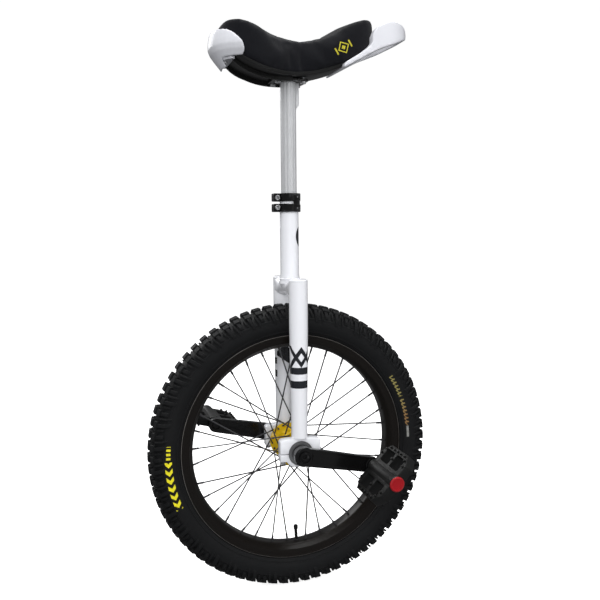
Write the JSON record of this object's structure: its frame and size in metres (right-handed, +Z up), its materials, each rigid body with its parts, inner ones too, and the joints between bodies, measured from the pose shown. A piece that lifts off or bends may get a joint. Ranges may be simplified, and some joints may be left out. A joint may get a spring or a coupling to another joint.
{
  "type": "unicycle",
  "caption": "Trials unicycle: knobby tyre on a spoked wheel, direct cranks and platform pedals, split bearing holders, two-leg fork and a curved saddle on a clamped post.",
  "frame": {"origin": "the tyre's contact patch on the ground, straight below the axle", "axes": "+X the way the rider faces, +Y the rider's left, along the axle, +Z up"},
  "size_m": [0.507, 0.378, 0.9913],
  "materials": {
    "tyre_rubber": "matt black",
    "tube_rubber": "matt black",
    "rim_black": "semi-gloss black anodised",
    "spoke_black": "satin black",
    "valve_metal": "satin black",
    "hub_yellow": "bright yellow anodised",
    "steel": "machined",
    "bearing_steel": "satin",
    "bolt_steel": "polished",
    "black_alloy": "semi-gloss black",
    "crank_black": "gloss black",
    "white_paint": "gloss white",
    "post_alloy": "bright, with lengthwise flutes",
    "black_plastic": "matt black",
    "bushing_plastic": "self-lubricating",
    "red_plastic": "bright red",
    "white_plastic": "gloss white",
    "foam": "open foam",
    "cover_fabric": "black stretch fabric"
  },
  "bodies": {
    "frame": {"seat_tube": "white_paint", "crown": "white_paint", "leg_right": "white_paint", "leg_left": "white_paint", "leg_cap_right": "white_paint", "leg_cap_left": "white_paint", "holder_upper_right": "white_paint", "holder_lower_right": "white_paint", "holder_upper_left": "white_paint", "holder_lower_left": "white_paint", "holder_bolt_right_rear": "bolt_steel", "holder_bolt_right_front": "bolt_steel", "holder_bolt_left_rear": "bolt_steel", "holder_bolt_left_front": "bolt_steel", "bearing_outer_right": "bearing_steel", "bearing_outer_left": "bearing_steel", "seat_clamp": "black_alloy", "clamp_bolt_upper": "bolt_steel", "clamp_bolt_lower": "bolt_steel", "clamp_nut_upper": "bolt_steel", "clamp_nut_lower": "bolt_steel"},
    "wheel": {"tyre": "tyre_rubber", "inner_tube": "tube_rubber", "rim_strip": "tube_rubber", "rim": "rim_black", "valve_stem": "valve_metal", "valve_cap": "black_plastic", "hub_shell": "hub_yellow", "spindle": "steel", "spokes_right": "spoke_black", "spokes_left": "spoke_black", "bearing_inner_right": "bearing_steel", "bearing_inner_left": "bearing_steel", "spacer_right": "black_alloy", "spacer_left": "black_alloy", "crank_right": "crank_black", "crank_left": "crank_black", "crank_bolt_right": "bolt_steel", "crank_bolt_left": "bolt_steel", "pedal_spindle_right": "steel", "pedal_spindle_left": "steel"},
    "saddle": {"seatpost": "post_alloy", "post_plate": "post_alloy", "seat_bolt_rear_right": "bolt_steel", "seat_bolt_rear_left": "bolt_steel", "seat_bolt_front_right": "bolt_steel", "seat_bolt_front_left": "bolt_steel", "saddle_base": "black_plastic", "saddle_foam": "foam", "saddle_cover": "cover_fabric", "rear_bumper": "white_plastic", "bumper_bolt_right": "bolt_steel", "bumper_bolt_left": "bolt_steel", "front_handle": "white_plastic"},
    "pedal_right": {"pedal_body_right": "black_plastic", "pedal_bushing_right": "bushing_plastic", "pedal_cap_right": "red_plastic"},
    "pedal_left": {"pedal_body_left": "black_plastic", "pedal_bushing_left": "bushing_plastic", "pedal_cap_left": "red_plastic"}
  },
  "joints": [
    {"name": "wheel_spin", "type": "hinge", "parent": "frame", "child": "wheel", "pos_m": [0, 0, 0.2535], "axis": [0, 1, 0], "continuous": true},
    {"name": "pedal_right_spin", "type": "hinge", "parent": "wheel", "child": "pedal_right", "pos_m": [0.12245, -0.1385, 0.22837], "axis": [0, 1, 0], "continuous": true},
    {"name": "pedal_left_spin", "type": "hinge", "parent": "wheel", "child": "pedal_left", "pos_m": [-0.12245, 0.1385, 0.27863], "axis": [0, 1, 0], "continuous": true},
    {"name": "seat_height", "type": "slide", "parent": "frame", "child": "saddle", "axis": [0, 0, 1], "range_m": [-0.025, 0.04]}
  ]
}
